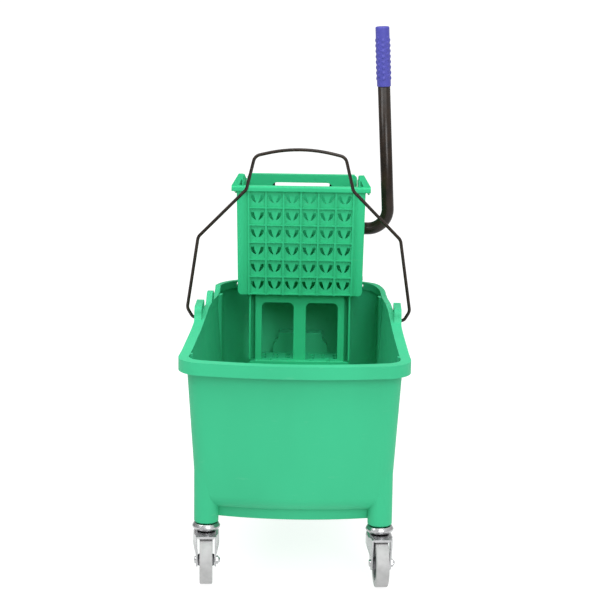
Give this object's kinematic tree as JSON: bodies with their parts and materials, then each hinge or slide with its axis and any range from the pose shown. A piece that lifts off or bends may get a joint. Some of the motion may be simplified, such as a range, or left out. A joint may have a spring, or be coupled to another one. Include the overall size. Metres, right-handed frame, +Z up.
{
  "type": "mop bucket with wringer",
  "caption": "Moulded mop bucket on swivel casters, with a lift-off side-press wringer worked by a bent lever, and a folding wire bail.",
  "frame": {"origin": "on the floor, at the middle of the whole object's footprint", "axes": "+Z up; +X towards the lever side; -Y towards the front of the bucket, the end away from the wringer"},
  "size_m": [0.3774, 0.62, 0.8496],
  "materials": {
    "bucket_green": "satin moulded polypropylene",
    "wringer_green": "satin moulded polypropylene, slightly deeper green",
    "black_wire": "satin black coated wire",
    "black_tube": "glossy black coated tube",
    "zinc_steel": "bright zinc plate",
    "ball_steel": "polished",
    "hub_grey": "moulded",
    "tyre_grey": "grey non-marking rubber",
    "gear_nylon": "natural nylon",
    "bush_acetal": "white acetal",
    "spring_steel": "oiled spring wire",
    "shaft_steel": "ground bar",
    "grip_violet": "dimpled vinyl"
  },
  "bodies": {
    "bucket": {"bucket_shell": "bucket_green", "caster_front_left_socket": "zinc_steel", "caster_front_left_stem": "zinc_steel", "caster_front_left_balls": "ball_steel", "caster_front_right_socket": "zinc_steel", "caster_front_right_stem": "zinc_steel", "caster_front_right_balls": "ball_steel", "caster_rear_left_socket": "zinc_steel", "caster_rear_left_stem": "zinc_steel", "caster_rear_left_balls": "ball_steel", "caster_rear_right_socket": "zinc_steel", "caster_rear_right_stem": "zinc_steel", "caster_rear_right_balls": "ball_steel"},
    "bail": {"bail_wire": "black_wire"},
    "wringer": {"wringer_front_grille": "wringer_green", "wringer_window_panel": "wringer_green", "wringer_basket_floor": "wringer_green", "rim_hanger": "wringer_green", "shaft_bushes": "bush_acetal", "cover_screws": "zinc_steel", "return_spring": "spring_steel", "side_frame_left": "wringer_green", "side_frame_right": "wringer_green", "side_cover_left": "wringer_green", "side_cover_right": "wringer_green"},
    "press": {"press_plate": "wringer_green", "press_bracket": "black_tube", "rack_left": "gear_nylon", "rack_right": "gear_nylon"},
    "lever": {"cross_shaft": "shaft_steel", "shaft_end_clip": "spring_steel", "lever_tube": "black_tube", "lever_bolt": "zinc_steel", "lever_grip": "grip_violet", "sector_gear_left": "gear_nylon", "sector_gear_right": "gear_nylon"},
    "fork_front_left": {"caster_front_left_fork": "zinc_steel", "caster_front_left_axle_bolt": "zinc_steel", "caster_front_left_axle_nut": "zinc_steel"},
    "wheel_front_left": {"caster_front_left_hub": "hub_grey", "caster_front_left_tyre": "tyre_grey"},
    "fork_front_right": {"caster_front_right_fork": "zinc_steel", "caster_front_right_axle_bolt": "zinc_steel", "caster_front_right_axle_nut": "zinc_steel"},
    "wheel_front_right": {"caster_front_right_hub": "hub_grey", "caster_front_right_tyre": "tyre_grey"},
    "fork_rear_left": {"caster_rear_left_fork": "zinc_steel", "caster_rear_left_axle_bolt": "zinc_steel", "caster_rear_left_axle_nut": "zinc_steel"},
    "wheel_rear_left": {"caster_rear_left_hub": "hub_grey", "caster_rear_left_tyre": "tyre_grey"},
    "fork_rear_right": {"caster_rear_right_fork": "zinc_steel", "caster_rear_right_axle_bolt": "zinc_steel", "caster_rear_right_axle_nut": "zinc_steel"},
    "wheel_rear_right": {"caster_rear_right_hub": "hub_grey", "caster_rear_right_tyre": "tyre_grey"}
  },
  "joints": [
    {"name": "bail_hinge", "type": "hinge", "parent": "bucket", "child": "bail", "pos_m": [0, -0.007, 0.376], "axis": [1, 0, 0], "range_deg": [-25, 88]},
    {"name": "wringer_lift", "type": "slide", "parent": "bucket", "child": "wringer", "axis": [0, 0, 1], "range_m": [0, 0.16]},
    {"name": "lever_hinge", "type": "hinge", "parent": "wringer", "child": "lever", "pos_m": [0, 0.238, 0.49], "axis": [1, 0, 0], "range_deg": [0, 70], "stiffness_Nm_per_rad": 4, "springref_deg": -28.65},
    {"name": "press_slide", "type": "slide", "parent": "wringer", "child": "press", "axis": [0, -1, 0], "range_m": [0, 0.055]},
    {"name": "swivel_front_left", "type": "hinge", "parent": "bucket", "child": "fork_front_left", "pos_m": [-0.138, -0.237, 0.09], "axis": [0, 0, 1], "continuous": true},
    {"name": "spin_front_left", "type": "hinge", "parent": "fork_front_left", "child": "wheel_front_left", "pos_m": [-0.13653, -0.26095, 0.0381], "axis": [0.9981, 0.061, 0], "continuous": true},
    {"name": "swivel_front_right", "type": "hinge", "parent": "bucket", "child": "fork_front_right", "pos_m": [0.138, -0.237, 0.09], "axis": [0, 0, 1], "continuous": true},
    {"name": "spin_front_right", "type": "hinge", "parent": "fork_front_right", "child": "wheel_front_right", "pos_m": [0.1403, -0.26089, 0.0381], "axis": [0.9954, 0.0958, 0], "continuous": true},
    {"name": "swivel_rear_left", "type": "hinge", "parent": "bucket", "child": "fork_rear_left", "pos_m": [-0.122, 0.19, 0.09], "axis": [0, 0, 1], "continuous": true},
    {"name": "spin_rear_left", "type": "hinge", "parent": "fork_rear_left", "child": "wheel_rear_left", "pos_m": [-0.12451, 0.16613, 0.0381], "axis": [0.9945, -0.1045, 0], "continuous": true},
    {"name": "swivel_rear_right", "type": "hinge", "parent": "bucket", "child": "fork_rear_right", "pos_m": [0.122, 0.19, 0.09], "axis": [0, 0, 1], "continuous": true},
    {"name": "spin_rear_right", "type": "hinge", "parent": "fork_rear_right", "child": "wheel_rear_right", "pos_m": [0.12367, 0.16606, 0.0381], "axis": [0.9976, 0.0698, 0], "continuous": true}
  ],
  "couplings": [
    {"joint": "press_slide", "follows": "lever_hinge", "m_per_rad": 0.045}
  ]
}
